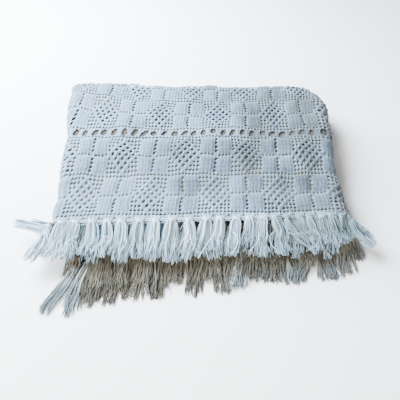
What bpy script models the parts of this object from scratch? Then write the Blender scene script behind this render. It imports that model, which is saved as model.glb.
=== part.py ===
"""A crocheted bedspread, folded front to back in four and then in thirds, with a knotted fringe."""
import math
from collections import namedtuple

import bmesh
import bpy
from mathutils import Vector

# Cloth
SHEET_THICKNESS = 0.0026
LAYER_PITCH = 0.0070
STRIP_PITCH = 0.0285
CELL_WIDTH = 0.00817
ROW_HEIGHT = 0.0108
EDGING_ROWS = 1.2

# Folded pile, front edge at y = 0 before it is centred
PILE_DEPTH = 0.450
FRONT_FOLD_SETBACK = 0.026
END_B_SETBACK = 0.006
TOP_LEFT_AT_FRONT = 0.2965
TOP_LEFT_FLARE = 0.068
TOP_LEFT_FLARE_POWER = 1.5
TOP_RIGHT = 0.297
RIGHT_WAIST = 0.009
RIGHT_WAIST_LENGTH = 0.360
BOTTOM_STRIP_LENGTH = 0.580
MIDDLE_STRIP_LENGTH = 0.575

# Rounded corner at the back right
CORNER_LENGTH = 0.090
CORNER_INSET = 0.075
CORNER_LIMIT = 0.80

# Height of the pile, skew of its front edge and the way the bottom strip slips forward
FRONT_HEIGHT_SHARE = 0.81
BACK_HEIGHT_GAIN = 0.34
RISE_START = 0.070
RISE_LENGTH = 0.155
WAVE_SHARE = 0.018
WAVE_LENGTH = 0.34
WAVE_PHASE = 1.1
FRONT_SKEW = 0.079
SKEW_FADE = 0.70
SLIP_AT_CENTRE = 0.050
SLIP_PER_METRE = 0.081
SLIP_FADE = 0.300

# Segments of the cloth
RUN_SEGMENTS = 6
FOLD_SEGMENTS = 3
MIDDLE_SEGMENTS = 4
LEFT_ROLL_SEGMENTS = 5
TOP_SEGMENTS = 7
RIGHT_ROLL_SEGMENTS = 6
BOTTOM_SEGMENTS = 5

# Openwork, counted in cells across and rows up from the front edging
MotifRow = namedtuple("MotifRow", "centre first_block blocks first_mesh meshes")
MOTIF_PITCH = 18
MOTIF_HALF = 5
BOW_DEPTH = 0.028
BOW_FIRST_ROW = 20
BOW_ROWS = 13
BOW_COLUMN = 36
BAND_ROW = 21.5
BAND_PITCH = 3
BAND_FIRST = -39
BAND_COUNT = 28
BAND_HALF = 0.0060
EYELET_HALF = 0.0027
CUT_DEPTH = 0.0028
PROBE = 0.0005
# rows are counted from the front edge and columns from the middle of the top
MOTIF_ROWS = (
    MotifRow(centre=5, first_block=-23, blocks=4, first_mesh=-32, meshes=5),
    MotifRow(centre=15, first_block=-32, blocks=5, first_mesh=-23, meshes=4),
    MotifRow(centre=28, first_block=-23, blocks=4, first_mesh=-32, meshes=5),
)
# column and row of each mesh eyelet from the middle of its diamond
MESH_EYELETS = (
    (0, 1), (0, -1), (1, 0), (-1, 0),
    (1, 2), (-1, 2), (1, -2), (-1, -2),
)

# Fringe
TASSEL_PITCH = 4 * CELL_WIDTH
FRINGE_GAP = 0.0003
BACKING_DEPTH = 0.0030
RIGHT_SPLAY_SPAN = 0.080
TOP_ROW_LEFT_TURN = 1.25
TOP_ROW_RIGHT_TURN = 1.50
SPLAY_POWER = 1.5
LEAST_REACH = 0.3
# strip: the part of the fold whose edge the row is on
# layers: place of its layer, in layer pitches out from the strip's middle
# splay: how far the row's left end turns aside, in degrees, and the span over which that fades
# right_splay: how far its right end turns aside, in degrees
# drop_power: how early a lock drops
# lift: height of the row above what holds it up
FringeRow = namedtuple(
    "FringeRow",
    "name strip layers setback locks form tip_height splay splay_span right_splay drop_power lift",
)
FRINGE_ROWS = (
    FringeRow(
        name="fringe_a_top", strip="top", layers=1.5, setback=0.0, locks=4, form="full",
        tip_height=0.0290, splay=74.0, splay_span=0.075, right_splay=46.0, drop_power=1.3, lift=0.0205,
    ),
    FringeRow(
        name="fringe_b_top", strip="flat", layers=-1.5, setback=END_B_SETBACK, locks=1, form="plain",
        tip_height=0.0230, splay=24.0, splay_span=0.150, right_splay=0.0, drop_power=1.1, lift=0.0160,
    ),
    FringeRow(
        name="fringe_b_middle", strip="middle", layers=-1.5, setback=END_B_SETBACK, locks=1, form="plain",
        tip_height=0.0175, splay=50.0, splay_span=0.110, right_splay=0.0, drop_power=1.2, lift=0.0112,
    ),
    FringeRow(
        name="fringe_a_middle", strip="middle", layers=1.5, setback=0.0, locks=1, form="plain",
        tip_height=0.0115, splay=30.0, splay_span=0.150, right_splay=0.0, drop_power=2.0, lift=0.0055,
    ),
    FringeRow(
        name="fringe_b_bottom", strip="bottom", layers=-1.5, setback=END_B_SETBACK, locks=1, form="plain",
        tip_height=0.0068, splay=8.0, splay_span=0.150, right_splay=25.0, drop_power=3.0, lift=0.0,
    ),
    FringeRow(
        name="fringe_a_bottom", strip="bottom", layers=1.5, setback=0.0, locks=4, form="full",
        tip_height=0.0, splay=10.0, splay_span=0.150, right_splay=30.0, drop_power=1.0, lift=0.0,
    ),
)
SUPPORT_ON_CLOTH = 0.0205
SUPPORT_ON_FRINGE = 0.0068
SUPPORT_FALL = 0.050
# distance is from the cloth's edge, step is between the locks of one tassel
Section = namedtuple("Section", "distance step half_width half_thickness")
LOCK_SECTIONS = {
    "full": (
        Section(0.0033, 0.0046, 0.0019, 0.0013),
        Section(0.0130, 0.0042, 0.0017, 0.0021),
        Section(0.0550, 0.0084, 0.0033, 0.0018),
        Section(0.0980, 0.0088, 0.0019, 0.0009),
    ),
    "plain": (
        Section(0.0033, 0.0, 0.0060, 0.0013),
        Section(0.0450, 0.0, 0.0105, 0.0018),
        Section(0.0960, 0.0, 0.0085, 0.0009),
    ),
}
# section at which a lock stops running straight forward
STRAIGHT_SECTION = {"full": 1, "plain": 0}

COTTON = (0.86, 0.88, 0.90, 1.0)
COTTON_ROUGHNESS = 0.9

HALF_THICKNESS = SHEET_THICKNESS / 2
STRIP_HALF = 1.5 * LAYER_PITCH
BOTTOM_HEIGHT = HALF_THICKNESS + STRIP_HALF
TOP_HEIGHT = BOTTOM_HEIGHT + 2 * STRIP_PITCH
RIGHT_RADIUS = STRIP_PITCH
LEFT_RADIUS = STRIP_PITCH / 2
FOLD_RADIUS = LAYER_PITCH / 2
PILE_TOP = TOP_HEIGHT + STRIP_HALF


def smooth(value):
    """Ramp from 0 to 1 with level ends."""
    t = min(max(value, 0.0), 1.0)
    return t * t * (3 - 2 * t)


def left_edge(y):
    """Where the top strip starts to roll down on the left."""
    share = min(max(y / PILE_DEPTH, 0.0), 1.0)
    return TOP_LEFT_AT_FRONT + TOP_LEFT_FLARE * share ** TOP_LEFT_FLARE_POWER


def right_edge(y):
    """Where the top strip starts to roll down on the right, rounded at the back corner."""
    t = (y - (PILE_DEPTH - CORNER_LENGTH)) / CORNER_LENGTH
    t = min(max(t, 0.0), 1.0) * CORNER_LIMIT
    along = min(max(y / RIGHT_WAIST_LENGTH, 0.0), 1.0)
    waist = RIGHT_WAIST * math.sin(math.pi * along)
    return TOP_RIGHT - waist - CORNER_INSET * (1 - math.sqrt(1 - t * t))


def width_path(s, y):
    """Place and outward direction on the strip's middle line, s counted from the middle of the top."""
    left = left_edge(y)
    right = right_edge(y)
    if s > right + math.pi * RIGHT_RADIUS:
        beyond = s - right - math.pi * RIGHT_RADIUS
        return right - beyond, TOP_HEIGHT - 2 * RIGHT_RADIUS, 0.0, -1.0
    if s > right:
        turn = (s - right) / RIGHT_RADIUS
        out_x, out_z = math.sin(turn), math.cos(turn)
        return right + RIGHT_RADIUS * out_x, TOP_HEIGHT - RIGHT_RADIUS * (1 - out_z), out_x, out_z
    if s >= -left:
        return s, TOP_HEIGHT, 0.0, 1.0
    if s >= -left - math.pi * LEFT_RADIUS:
        turn = (-left - s) / LEFT_RADIUS
        out_x, out_z = -math.sin(turn), math.cos(turn)
        return -left + LEFT_RADIUS * out_x, TOP_HEIGHT - LEFT_RADIUS * (1 - out_z), out_x, out_z
    beyond = -left - math.pi * LEFT_RADIUS - s
    return -left + beyond, TOP_HEIGHT - 2 * LEFT_RADIUS, 0.0, -1.0


def height_share(x, y):
    """The pile is thinner at its front edge, where there are no folds, than at the back."""
    rise = BACK_HEIGHT_GAIN * smooth((y - RISE_START) / RISE_LENGTH)
    wave = WAVE_SHARE * math.sin(2 * math.pi * x / WAVE_LENGTH + WAVE_PHASE) * smooth(y / RISE_LENGTH)
    return FRONT_HEIGHT_SHARE + rise + wave


def edge_skew(x, y):
    """The front edge runs aslant, the back edge nearly square."""
    return FRONT_SKEW * x * (1 - SKEW_FADE * y / PILE_DEPTH)


def forward_slip(x):
    """How far the bottom strip's front edge lies ahead of the top strip's."""
    return SLIP_AT_CENTRE - SLIP_PER_METRE * x


def slip_share(s, y):
    """Share of the slip, from none in the upper half of the right roll to all of it below the roll."""
    turn = (s - right_edge(y)) / RIGHT_RADIUS
    return smooth((turn - math.pi / 2) / (math.pi / 2))


def cloth_point(s, y, across):
    """Middle surface of the layer that lies across above the strip's middle line, settled."""
    x, z, out_x, out_z = width_path(s, y)
    x += out_x * across
    z += out_z * across
    fade = 1 - min(max(y / SLIP_FADE, 0.0), 1.0)
    place_y = y + edge_skew(x, y) - slip_share(s, y) * forward_slip(x) * fade * fade
    return Vector((x, place_y, HALF_THICKNESS + (z - HALF_THICKNESS) * height_share(x, y)))


def spread_run(start, end, count):
    """Evenly spaced places from start up to, but without, end."""
    return [start + (end - start) * k / count for k in range(count)]


def turn_back(y, across_from, across_to):
    """Places round a fold between two layers, at its back or its front."""
    middle = (across_from + across_to) / 2
    radius = abs(across_to - across_from) / 2
    way = 1 if y > PILE_DEPTH / 2 else -1
    places = []
    for k in range(FOLD_SEGMENTS):
        turn = math.pi * k / FOLD_SEGMENTS
        side = 1 if across_from > across_to else -1
        places.append((y + way * radius * math.sin(turn), middle + side * radius * math.cos(turn)))
    return places


def depth_profile():
    """Front to back places of the cloth's length, folded in four."""
    levels = [STRIP_HALF, FOLD_RADIUS, -FOLD_RADIUS, -STRIP_HALF]
    back = PILE_DEPTH - FOLD_RADIUS
    front = FRONT_FOLD_SETBACK
    places = [(y, levels[0]) for y in spread_run(0.0, back, RUN_SEGMENTS)]
    places += turn_back(back, levels[0], levels[1])
    places += [(y, levels[1]) for y in spread_run(back, front, RUN_SEGMENTS)]
    places += turn_back(front, levels[1], levels[2])
    places += [(y, levels[2]) for y in spread_run(front, back, RUN_SEGMENTS)]
    places += turn_back(back, levels[2], levels[3])
    places += [(y, levels[3]) for y in spread_run(back, END_B_SETBACK, RUN_SEGMENTS)]
    places.append((END_B_SETBACK, levels[3]))
    return places


def width_stations(y):
    """Places along the cloth's width that keep to the rolls wherever these lie."""
    left = left_edge(y)
    right = right_edge(y)
    left_end = left + math.pi * LEFT_RADIUS
    right_end = right + math.pi * RIGHT_RADIUS
    places = spread_run(-left_end - MIDDLE_STRIP_LENGTH, -left_end, MIDDLE_SEGMENTS)
    places += spread_run(-left_end, -left, LEFT_ROLL_SEGMENTS)
    places += spread_run(-left, right, TOP_SEGMENTS)
    places += spread_run(right, right_end, RIGHT_ROLL_SEGMENTS)
    places += spread_run(right_end, right_end + BOTTOM_STRIP_LENGTH, BOTTOM_SEGMENTS)
    places.append(right_end + BOTTOM_STRIP_LENGTH)
    return places


def new_object(name, mesh, collection):
    """Link a mesh into a collection as a named object."""
    thing = bpy.data.objects.new(name, mesh)
    collection.objects.link(thing)
    return thing


def give_material(thing):
    """Plain cotton, one material for each piece."""
    material = bpy.data.materials.new(thing.name + "_cotton")
    material.use_nodes = True
    shader = material.node_tree.nodes["Principled BSDF"]
    shader.inputs["Base Color"].default_value = COTTON
    shader.inputs["Roughness"].default_value = COTTON_ROUGHNESS
    shader.inputs["Metallic"].default_value = 0.0
    thing.data.materials.append(material)


def apply_modifiers(thing):
    """Make the modifiers' result the object's own mesh."""
    graph = bpy.context.evaluated_depsgraph_get()
    mesh = bpy.data.meshes.new_from_object(thing.evaluated_get(graph))
    thing.modifiers.clear()
    old = thing.data
    thing.data = mesh
    bpy.data.meshes.remove(old)


def build_sheet(collection):
    """The folded cloth as a grid laid over the fold and thickened."""
    profile = depth_profile()
    across_count = len(width_stations(0.0))
    mesh = bpy.data.meshes.new("spread")
    work = bmesh.new()
    bmesh.ops.create_grid(work, x_segments=across_count - 1, y_segments=len(profile) - 1, size=1.0)
    stations = [width_stations(y) for y, _ in profile]
    for vertex in work.verts:
        column = round((vertex.co.x + 1) / 2 * (across_count - 1))
        row = round((vertex.co.y + 1) / 2 * (len(profile) - 1))
        y, across = profile[row]
        vertex.co = cloth_point(stations[row][column], y, across)
    work.to_mesh(mesh)
    work.free()
    sheet = new_object("spread", mesh, collection)
    solidify = sheet.modifiers.new("thickness", "SOLIDIFY")
    solidify.thickness = SHEET_THICKNESS
    solidify.offset = 0.0
    solidify.use_even_offset = True
    apply_modifiers(sheet)
    return sheet


def row_place(row, column):
    """Distance of a crochet row from the front edge. Rows bow to the back at the sides."""
    bow = BOW_DEPTH * smooth((row - BOW_FIRST_ROW) / BOW_ROWS) * (column / BOW_COLUMN) ** 2
    return (row + EDGING_ROWS) * ROW_HEIGHT + bow


def eyelet_places():
    """Column, row and half size of each gap that is cut through, the largest first."""
    places = [(BAND_FIRST + BAND_PITCH * k, BAND_ROW, BAND_HALF) for k in range(BAND_COUNT)]
    for motifs in MOTIF_ROWS:
        for k in range(motifs.blocks):
            column = motifs.first_block + MOTIF_PITCH * k
            for step in range(1, MOTIF_HALF):
                places.append((column, motifs.centre + step, EYELET_HALF))
                places.append((column, motifs.centre - step, EYELET_HALF))
        for k in range(motifs.meshes):
            column = motifs.first_mesh + MOTIF_PITCH * k
            places += [(column + i, motifs.centre + j, EYELET_HALF) for i, j in MESH_EYELETS]
    return places


def outer_frame(s, y):
    """Point of the outer layer's middle surface and its unit outward normal."""
    point = cloth_point(s, y, STRIP_HALF)
    along = cloth_point(s + PROBE, y, STRIP_HALF) - cloth_point(s - PROBE, y, STRIP_HALF)
    back = cloth_point(s, y + PROBE, STRIP_HALF) - cloth_point(s, y - PROBE, STRIP_HALF)
    return point, along.cross(back).normalized()


def build_cutters(collection):
    """Diamond prisms square to the outer layer, one for each gap."""
    mesh = bpy.data.meshes.new("eyelet_cutters")
    work = bmesh.new()
    for column, row, half in eyelet_places():
        s, y = column * CELL_WIDTH, row_place(row, column)
        made = bmesh.ops.create_cone(work, segments=4, cap_ends=True, radius1=half, radius2=half, depth=2.0)
        for vertex in made["verts"]:
            point, normal = outer_frame(s + vertex.co.x, y + vertex.co.y)
            vertex.co = point + normal * CUT_DEPTH * vertex.co.z
    work.to_mesh(mesh)
    work.free()
    cutters = new_object("eyelet_cutters", mesh, collection)
    cutters.hide_render = True
    cutters.display_type = "WIRE"
    return cutters


def cut_eyelets(sheet, cutters):
    """Cut the openwork through the outer layer."""
    sheet.modifiers.new("flat_faces", "TRIANGULATE")
    cut = sheet.modifiers.new("eyelets", "BOOLEAN")
    cut.operation = "DIFFERENCE"
    cut.solver = "EXACT"
    cut.object = cutters
    apply_modifiers(sheet)


def fringe_span(strip):
    """Left and right place of a fringed row along the cloth's width."""
    left_end = left_edge(0.0) + math.pi * LEFT_RADIUS
    right_end = right_edge(0.0) + math.pi * RIGHT_RADIUS
    if strip == "top":
        left_turn = TOP_ROW_LEFT_TURN * LEFT_RADIUS
        return -left_edge(0.0) - left_turn, right_edge(0.0) + TOP_ROW_RIGHT_TURN * RIGHT_RADIUS
    if strip == "flat":
        return -left_edge(0.0), right_edge(0.0)
    if strip == "middle":
        return -left_end, -left_end - MIDDLE_STRIP_LENGTH
    return right_end + BOTTOM_STRIP_LENGTH, right_end


def tassel_places(span):
    """Distances of the tassels' middles from the left of a row."""
    length = abs(span[1] - span[0])
    count = int(length / TASSEL_PITCH)
    first = (length - (count - 1) * TASSEL_PITCH) / 2
    return [first + TASSEL_PITCH * k for k in range(count)]


def edge_point(row, along):
    """Place on the cloth's edge and the direction out of its face, turned to look up."""
    span = fringe_span(row.strip)
    way = 1 if span[1] > span[0] else -1
    s = span[0] + way * along
    _, _, out_x, out_z = width_path(s, 0.0)
    place = cloth_point(s, row.setback, row.layers * LAYER_PITCH)
    up = Vector((out_x, 0.0, out_z))
    return place, up if out_z > 0 else -up


def splay_angle(row, along):
    """How far a tassel turns from straight forward, in radians, to the left if above 0."""
    span = fringe_span(row.strip)
    from_left = smooth(along / row.splay_span)
    from_right = smooth((abs(span[1] - span[0]) - along) / RIGHT_SPLAY_SPAN)
    left = row.splay * (1 - from_left) ** SPLAY_POWER
    return math.radians(left - row.right_splay * (1 - from_right))


def support_height(x, y):
    """Height that the bottom strip, or its fringe ahead of it, holds up the fringe above."""
    edge = edge_skew(x, 0.0) - forward_slip(x)
    beyond = min(max((edge - y) / SUPPORT_FALL, 0.0), 1.0)
    return SUPPORT_ON_CLOTH + (SUPPORT_ON_FRINGE - SUPPORT_ON_CLOTH) * beyond


def lock_middle(row, middle, section, lateral):
    """Middle of a lock at one of its sections beyond the root, lateral to the side of the tassel's line."""
    sections = LOCK_SECTIONS[row.form]
    straight = sections[STRAIGHT_SECTION[row.form]].distance
    length = sections[-1].distance - straight
    beyond = max(section.distance - straight, 0.0)
    root, _ = edge_point(row, middle)
    drop = max(root.z - row.tip_height, 0.0)
    level_share = math.sqrt(max(1 - (drop / length) ** 2, LEAST_REACH ** 2))
    angle = splay_angle(row, middle) if beyond > 0.0 else 0.0
    place = root + Vector((0.0, -min(section.distance, straight), 0.0))
    place += Vector((-math.sin(angle), -math.cos(angle), 0.0)) * beyond * level_share
    place += Vector((math.cos(angle), -math.sin(angle), 0.0)) * lateral
    place.z -= drop * (1 - (1 - beyond / length) ** row.drop_power)
    if row.lift > 0.0:
        place.z = max(place.z, support_height(place.x, place.y) + row.lift)
    return place


def lock_corner(row, middle, offset, section, side, level):
    """Corner of a lock at one of its sections."""
    lateral = offset * section.step + side * section.half_width
    rise = section.half_thickness * level
    if section.distance == LOCK_SECTIONS[row.form][0].distance:
        place, up = edge_point(row, middle + lateral)
        return place + Vector((0.0, -section.distance, 0.0)) + up * rise
    place = lock_middle(row, middle, section, lateral)
    if row.tip_height == 0.0:
        place.z = section.half_thickness
    return place + Vector((0.0, 0.0, rise))


def build_fringe(row, collection):
    """A narrow strip along the cloth's edge with the locks of its tassels drawn out of it."""
    middles = tassel_places(fringe_span(row.strip))
    locks = [(middle, k - (row.locks - 1) / 2) for middle in middles for k in range(row.locks)]
    root, *beyond = LOCK_SECTIONS[row.form]
    stations = [middles[0] - TASSEL_PITCH / 2]
    for middle, offset in locks:
        place = middle + offset * root.step
        stations += [place - root.half_width, place + root.half_width]
    stations.append(middles[-1] + TASSEL_PITCH / 2)
    work = bmesh.new()
    column = work.verts.layers.int.new("column")
    level = work.verts.layers.int.new("level")
    front = work.verts.layers.int.new("front")
    bmesh.ops.create_grid(work, x_segments=len(stations) - 1, y_segments=1, size=1.0)
    for vertex in work.verts:
        vertex[column] = round((vertex.co.x + 1) / 2 * (len(stations) - 1))
        vertex[front] = 1 if vertex.co.y < 0 else 0
        vertex[level] = -1
    lifted = bmesh.ops.extrude_face_region(work, geom=work.faces[:])
    for vertex in lifted["geom"]:
        if isinstance(vertex, bmesh.types.BMVert):
            vertex[level] = 1
    for vertex in work.verts:
        place, up = edge_point(row, stations[vertex[column]])
        distance = FRINGE_GAP + BACKING_DEPTH * vertex[front]
        vertex.co = place + Vector((0.0, -distance, 0.0)) + up * HALF_THICKNESS * vertex[level]
    roots = {}
    for face in work.faces:
        columns = {vertex[column] for vertex in face.verts}
        levels = {vertex[level] for vertex in face.verts}
        at_front = all(vertex[front] for vertex in face.verts)
        if at_front and len(levels) == 2 and len(columns) == 2 and min(columns) % 2 == 1:
            roots[min(columns)] = face
    for first, face in roots.items():
        middle, offset = locks[(first - 1) // 2]
        for section in beyond:
            drawn = bmesh.ops.extrude_discrete_faces(work, faces=[face])
            face = drawn["faces"][0]
            for vertex in face.verts:
                side = -1 if vertex[column] == first else 1
                vertex.co = lock_corner(row, middle, offset, section, side, vertex[level])
    bmesh.ops.recalc_face_normals(work, faces=work.faces[:])
    mesh = bpy.data.meshes.new(row.name)
    work.to_mesh(mesh)
    work.free()
    return new_object(row.name, mesh, collection)


def centre_on_floor(pieces):
    """Put the middle of the whole pile's bounding box, seen from above, at the origin."""
    corners = [vertex.co for piece in pieces for vertex in piece.data.vertices]
    low_x, high_x = min(c.x for c in corners), max(c.x for c in corners)
    low_y, high_y = min(c.y for c in corners), max(c.y for c in corners)
    move = Vector((-(low_x + high_x) / 2, -(low_y + high_y) / 2, 0.0))
    for piece in pieces:
        for vertex in piece.data.vertices:
            vertex.co = vertex.co + move


def main():
    """Build the folded bedspread."""
    for thing in list(bpy.data.objects):
        bpy.data.objects.remove(thing, do_unlink=True)
    parts = bpy.data.collections.new("folded_crochet_bedspread")
    cutter_parts = bpy.data.collections.new("cutters")
    bpy.context.scene.collection.children.link(parts)
    bpy.context.scene.collection.children.link(cutter_parts)
    sheet = build_sheet(parts)
    cutters = build_cutters(cutter_parts)
    cut_eyelets(sheet, cutters)
    pieces = [sheet] + [build_fringe(row, parts) for row in FRINGE_ROWS]
    centre_on_floor(pieces)
    for piece in pieces:
        give_material(piece)


main()
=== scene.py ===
import math
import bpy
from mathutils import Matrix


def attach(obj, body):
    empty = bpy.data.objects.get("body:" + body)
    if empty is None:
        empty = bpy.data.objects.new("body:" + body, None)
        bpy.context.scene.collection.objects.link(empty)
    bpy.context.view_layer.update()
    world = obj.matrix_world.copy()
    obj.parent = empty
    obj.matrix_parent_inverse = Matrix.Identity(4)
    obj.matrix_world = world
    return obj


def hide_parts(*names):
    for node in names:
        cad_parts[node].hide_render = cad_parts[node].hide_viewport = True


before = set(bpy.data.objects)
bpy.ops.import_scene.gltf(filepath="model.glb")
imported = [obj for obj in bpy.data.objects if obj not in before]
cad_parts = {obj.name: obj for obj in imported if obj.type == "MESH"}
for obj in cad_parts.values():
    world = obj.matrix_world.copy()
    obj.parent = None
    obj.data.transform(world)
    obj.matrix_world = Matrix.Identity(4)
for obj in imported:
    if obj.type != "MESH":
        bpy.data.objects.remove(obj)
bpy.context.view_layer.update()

from types import SimpleNamespace

import bpy
import numpy as np
from mathutils import Vector

RNG = np.random.default_rng(20261)

# Measures of the folded cloth in metres, as in the solids
CENTRE = np.array([-0.0021914, -0.1340698, 0.0])
HALF_THICKNESS = 0.0013
LAYER_PITCH = 0.0070
STRIP_PITCH = 0.0285
CELL_WIDTH = 0.00817
ROW_HEIGHT = 0.0108
EDGING_ROWS = 1.2
PILE_DEPTH = 0.450
FRONT_FOLD_SETBACK = 0.026
END_B_SETBACK = 0.006
TOP_LEFT_AT_FRONT = 0.2965
TOP_LEFT_FLARE = 0.068
TOP_LEFT_FLARE_POWER = 1.5
TOP_RIGHT = 0.297
RIGHT_WAIST = 0.009
RIGHT_WAIST_LENGTH = 0.360
BOTTOM_STRIP_LENGTH = 0.580
MIDDLE_STRIP_LENGTH = 0.575
CORNER_LENGTH = 0.090
CORNER_INSET = 0.075
CORNER_LIMIT = 0.80
FRONT_HEIGHT_SHARE = 0.81
BACK_HEIGHT_GAIN = 0.34
RISE_START = 0.070
RISE_LENGTH = 0.155
WAVE_SHARE = 0.018
WAVE_LENGTH = 0.34
WAVE_PHASE = 1.1
FRONT_SKEW = 0.079
SKEW_FADE = 0.70
SLIP_AT_CENTRE = 0.050
SLIP_PER_METRE = 0.081
SLIP_FADE = 0.300

STRIP_HALF = 1.5 * LAYER_PITCH
TOP_HEIGHT = HALF_THICKNESS + STRIP_HALF + 2 * STRIP_PITCH
RIGHT_RADIUS, LEFT_RADIUS, FOLD_RADIUS = STRIP_PITCH, STRIP_PITCH / 2, LAYER_PITCH / 2
BACK_FOLD = PILE_DEPTH - FOLD_RADIUS
FOLD_ARC = math.pi * FOLD_RADIUS
INNER_RUN = BACK_FOLD - FRONT_FOLD_SETBACK
CLOTH_LENGTH = BACK_FOLD * 2 - END_B_SETBACK + 2 * INNER_RUN + 3 * math.pi * FOLD_RADIUS


def smooth(v):
    t = np.clip(v, 0.0, 1.0)
    return t * t * (3 - 2 * t)


def left_edge(y):
    """Where the left roll begins, from the middle of the pile, at y from its front."""
    return TOP_LEFT_AT_FRONT + TOP_LEFT_FLARE * np.clip(y / PILE_DEPTH, 0.0, 1.0) ** TOP_LEFT_FLARE_POWER


def right_edge(y):
    """Where the right roll begins. It is drawn in at its middle and rounded at the back corner."""
    t = np.clip((y - (PILE_DEPTH - CORNER_LENGTH)) / CORNER_LENGTH, 0.0, 1.0) * CORNER_LIMIT
    waist = RIGHT_WAIST * np.sin(math.pi * np.clip(y / RIGHT_WAIST_LENGTH, 0.0, 1.0))
    return TOP_RIGHT - waist - CORNER_INSET * (1 - np.sqrt(1 - t * t))


def width_path(s, y):
    """Place and outward direction on the strip's middle line, as in the solids."""
    left, right = left_edge(y), right_edge(y)
    turn_r = np.clip((s - right) / RIGHT_RADIUS, 0.0, math.pi)
    turn_l = np.clip((-left - s) / LEFT_RADIUS, 0.0, math.pi)
    past_r = np.maximum(s - right - math.pi * RIGHT_RADIUS, 0.0)
    past_l = np.maximum(-left - math.pi * LEFT_RADIUS - s, 0.0)
    x = np.clip(s, -left, right)
    x = x + RIGHT_RADIUS * np.sin(turn_r) - LEFT_RADIUS * np.sin(turn_l) - past_r + past_l
    z = TOP_HEIGHT - RIGHT_RADIUS * (1 - np.cos(turn_r)) - LEFT_RADIUS * (1 - np.cos(turn_l))
    out_x = np.sin(turn_r) - np.sin(turn_l)
    out_z = np.where(turn_r > 0, np.cos(turn_r), np.cos(turn_l))
    return x, z, out_x, out_z


def height_share(x, y):
    """The pile is thinner in front, thicker at the back and wavy on top."""
    wave = WAVE_SHARE * np.sin(2 * np.pi * x / WAVE_LENGTH + WAVE_PHASE) * smooth(y / RISE_LENGTH)
    return FRONT_HEIGHT_SHARE + BACK_HEIGHT_GAIN * smooth((y - RISE_START) / RISE_LENGTH) + wave


def edge_skew(x, y):
    """How far the pile is drawn askew from front to back."""
    return FRONT_SKEW * x * (1 - SKEW_FADE * y / PILE_DEPTH)


def forward_slip(x):
    """How far the lower strips stick out under the top one at the front."""
    return SLIP_AT_CENTRE - SLIP_PER_METRE * x


def cloth_point(s, y, across):
    """Surface of the layer that lies across above the strip's middle line, in the row frame."""
    s, y, across = np.broadcast_arrays(*(np.asarray(v, float) for v in (s, y, across)))
    x, z, out_x, out_z = width_path(s, y)
    x = x + out_x * across
    z = z + out_z * across
    fade = 1 - np.clip(y / SLIP_FADE, 0.0, 1.0)
    share = smooth(((s - right_edge(y)) / RIGHT_RADIUS - math.pi / 2) / (math.pi / 2))
    place_y = y + edge_skew(x, y) - share * forward_slip(x) * fade * fade
    place_z = HALF_THICKNESS + (z - HALF_THICKNESS) * height_share(x, y)
    return np.stack([x, place_y, place_z], -1) + CENTRE


def profile(v):
    """Front to back place and layer height at v along the cloth's length from the fringed end."""
    v = np.asarray(v, float)
    lengths = [BACK_FOLD, FOLD_ARC, INNER_RUN, FOLD_ARC, INNER_RUN, FOLD_ARC, BACK_FOLD - END_B_SETBACK]
    starts = np.cumsum([0] + lengths)
    heights = (STRIP_HALF, FOLD_RADIUS, -FOLD_RADIUS, -STRIP_HALF)
    y = np.zeros_like(v)
    h = np.zeros_like(v)
    for k, (begin, end) in enumerate(zip(starts[:-1], starts[1:])):
        inside = (v >= begin) & ((v < end) | (k == len(lengths) - 1))
        past = v - begin
        if k % 2 == 0:
            way = 1 if k % 4 == 0 else -1
            first = (0.0, BACK_FOLD, FRONT_FOLD_SETBACK, BACK_FOLD)[k // 2]
            run_y, run_h = first + way * past, np.full_like(v, heights[k // 2])
        else:
            turn = past / FOLD_RADIUS
            at, way = (BACK_FOLD, 1) if k % 4 == 1 else (FRONT_FOLD_SETBACK, -1)
            run_y = at + way * FOLD_RADIUS * np.sin(turn)
            run_h = (heights[k // 2] + heights[k // 2 + 1]) / 2 + FOLD_RADIUS * np.cos(turn)
        y, h = np.where(inside, run_y, y), np.where(inside, run_h, h)
    return y, h


def surface_frame(s, v):
    """Point and unit outward normal of the folded middle surface."""
    step = 0.0006
    y, h = profile(v)
    here = cloth_point(s, y, h)
    along = cloth_point(s + step, y, h) - cloth_point(s - step, y, h)
    y1, h1 = profile(v + step)
    y0, h0 = profile(np.maximum(v - step, 0.0))
    back = cloth_point(s, y1, h1) - cloth_point(s, y0, h0)
    normal = np.cross(along, back)
    return here, normal / np.maximum(np.linalg.norm(normal, axis=-1, keepdims=True), 1e-12)


# Crochet pattern: columns of cells across, rows up from the front edge

REPEAT = 18
HALF_REPEAT = REPEAT // 2
TIER_ROWS = 10
BLOCK_REACH = 4
FIRST_BLOCK_COL = -5
BAND_ROWS = (21, 22)
BAND_CENTRE = 21.5
BOW_DEPTH, BOW_FIRST_ROW, BOW_ROWS, BOW_COL, BOW_LIMIT = 0.028, 20, 13, 36, 1.5
# half width and half height of each kind of hole, in cells and rows
HOLE_SIZES = {
    "slit": (0.36, 0.18), "mesh_small": (0.34, 0.24), "mesh_open": (0.42, 0.33),
    "column": (0.36, 0.36), "row_slit": (0.35, 0.16), "edge_hole": (0.26, 0.16),
}


def block_cell(col, row):
    """What a cell is part of, and its column and row from the middle of its block or mesh."""
    if row < 0:
        return ("edge", 0, 0)
    if row in BAND_ROWS:
        return ("band", 0, 0)
    below_band = row < BAND_ROWS[0]
    tier, j = divmod(row if below_band else row - BAND_ROWS[-1] - 1, TIER_ROWS)
    if j == 0:
        return ("slit", 0, 0)
    # blocks and meshes change places from one tier to the next
    block_col = FIRST_BLOCK_COL + HALF_REPEAT * (tier % 2)
    dj = j - TIER_ROWS // 2
    di = (col - block_col + HALF_REPEAT) % REPEAT - HALF_REPEAT
    if abs(di) <= BLOCK_REACH:
        return ("block", di, dj)
    return ("mesh", (col - block_col) % REPEAT - HALF_REPEAT, dj)


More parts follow.
